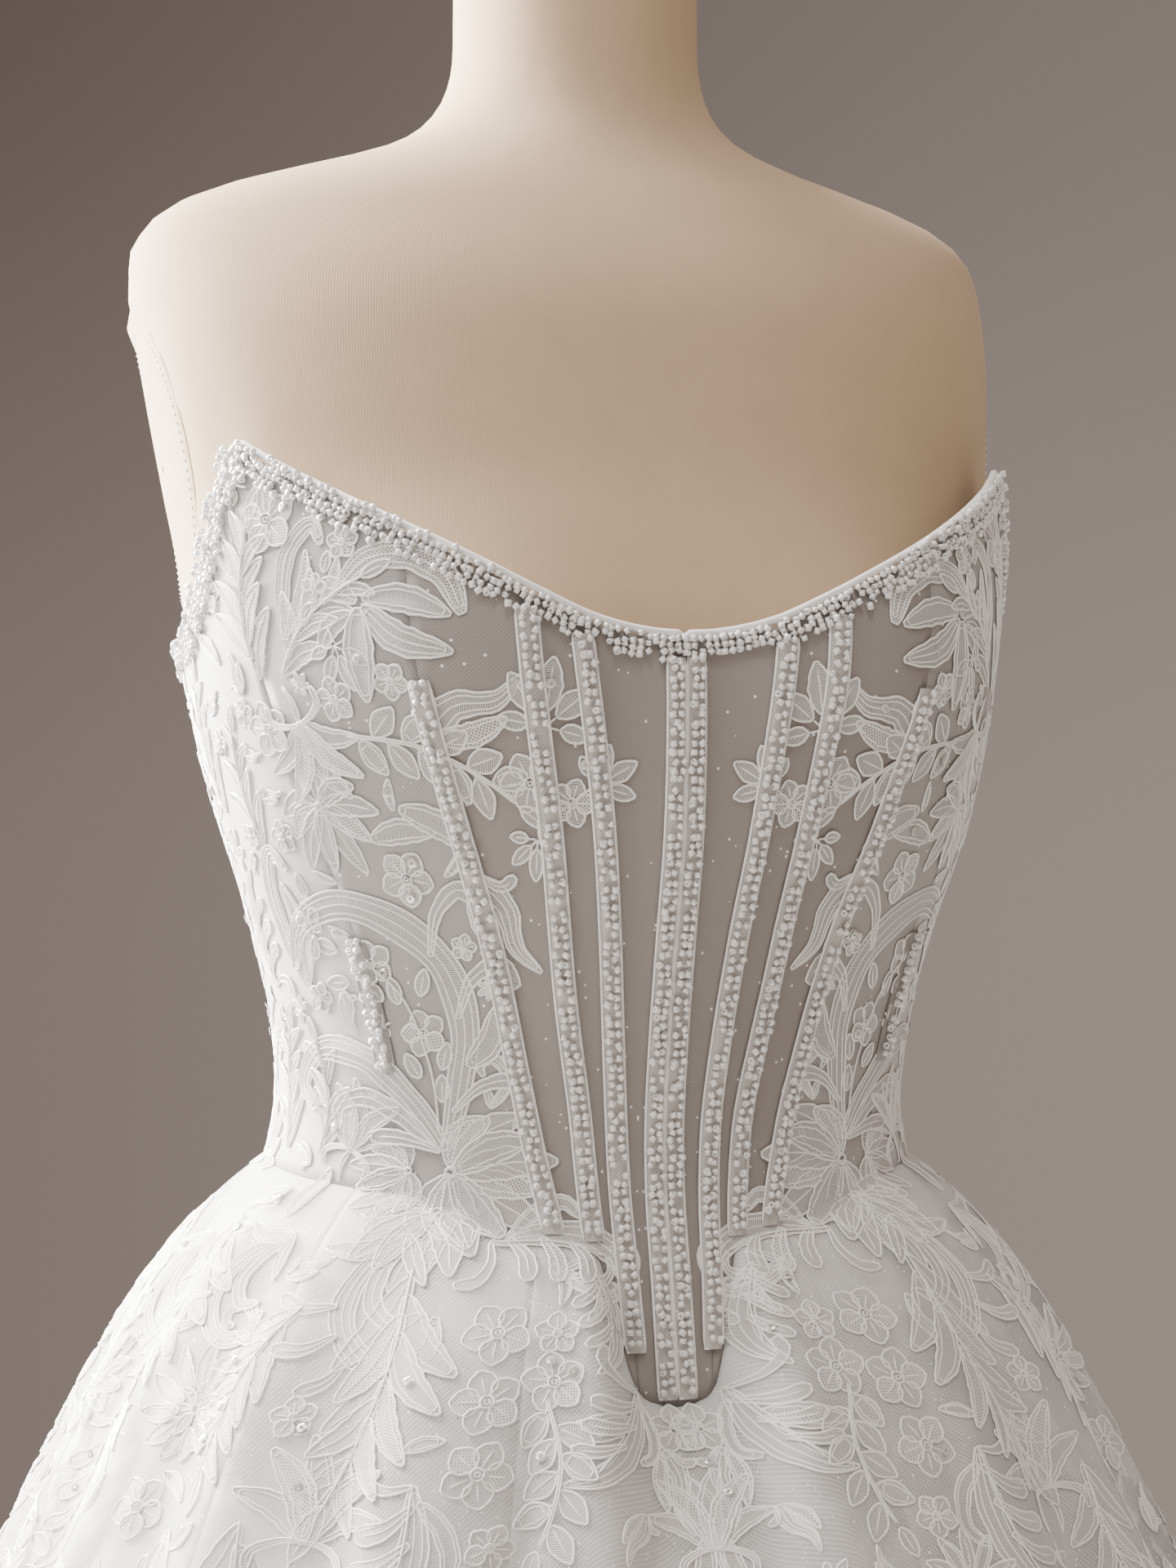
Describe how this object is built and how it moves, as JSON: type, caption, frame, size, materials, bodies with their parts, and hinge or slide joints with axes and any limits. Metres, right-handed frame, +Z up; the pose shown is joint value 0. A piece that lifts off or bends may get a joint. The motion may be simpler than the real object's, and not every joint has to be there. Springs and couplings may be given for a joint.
{
  "type": "a-line gown on a dress form",
  "caption": "Strapless A-line bridal gown with a boned, beaded lace bodice, basque waist and gathered tulle skirt, on a limbless jersey dress form with a round stand.",
  "frame": {"origin": "centre of the stand base's underside, on the floor", "axes": "+Z up; the gown faces -Y; +X is the wearer's left"},
  "size_m": [1.2405, 1.1411, 1.5443],
  "materials": {
    "white_satin": "smooth white lining under fine net, soft sheen",
    "tulle": "sheer white tulle with fine glitter dots",
    "corded_lace": "white thread-filled motifs with raised cord outlines",
    "beaded_band": "white piped channel covered with clear glass seed beads",
    "jersey": "fine beige knit, matte",
    "board": "plain sanded board",
    "stand_steel": "satin",
    "zip_metal": "white lacquer, semi-gloss"
  },
  "bodies": {
    "gown_and_form": {"binding_left": "white_satin", "binding_right": "white_satin", "bodice_back_left": "white_satin", "bodice_back_right": "white_satin", "bodice_bust_left": "white_satin", "bodice_bust_right": "white_satin", "bodice_centre_left": "white_satin", "bodice_centre_right": "white_satin", "bodice_second_left": "white_satin", "bodice_second_right": "white_satin", "bodice_side_left": "white_satin", "bodice_side_right": "white_satin", "bodice_third_left": "white_satin", "bodice_third_right": "white_satin", "channel_centre_left": "beaded_band", "channel_centre_right": "beaded_band", "channel_first_left": "beaded_band", "channel_first_right": "beaded_band", "channel_fourth_left": "beaded_band", "channel_fourth_right": "beaded_band", "channel_second_left": "beaded_band", "channel_second_right": "beaded_band", "channel_third_left": "beaded_band", "channel_third_right": "beaded_band", "form_arm_plate_left": "jersey", "form_arm_plate_right": "jersey", "form_board": "board", "form_neck_cap": "jersey", "form_torso": "jersey", "lace_bust_leaf_left": "corded_lace", "lace_bust_leaf_right": "corded_lace", "lace_crescent_left": "corded_lace", "lace_crescent_right": "corded_lace", "lace_peak_flower_left": "corded_lace", "lace_peak_flower_right": "corded_lace", "lace_scroll_left": "corded_lace", "lace_scroll_right": "corded_lace", "lace_waist_flower_left": "corded_lace", "lace_waist_flower_right": "corded_lace", "lace_wing_leaf_left": "corded_lace", "lace_wing_leaf_right": "corded_lace", "lace_winged_leaf_left": "corded_lace", "lace_winged_leaf_right": "corded_lace", "lining_back_left": "white_satin", "lining_back_right": "white_satin", "lining_centre_front": "white_satin", "lining_side_back_left": "white_satin", "lining_side_back_right": "white_satin", "lining_side_front_left": "white_satin", "lining_side_front_right": "white_satin", "lining_side_left": "white_satin", "lining_side_right": "white_satin", "stand_base": "stand_steel", "stand_pole": "stand_steel", "tulle_back_left": "tulle", "tulle_back_right": "tulle", "tulle_front": "tulle", "zip_slider": "zip_metal"},
    "zip_pull": {"zip_pull": "zip_metal"}
  },
  "joints": [
    {"name": "zip_pull_hinge", "type": "hinge", "parent": "gown_and_form", "child": "zip_pull", "pos_m": [0, 0.11155, 1.21259], "axis": [1, 0, 0], "range_deg": [0, 150]}
  ]
}
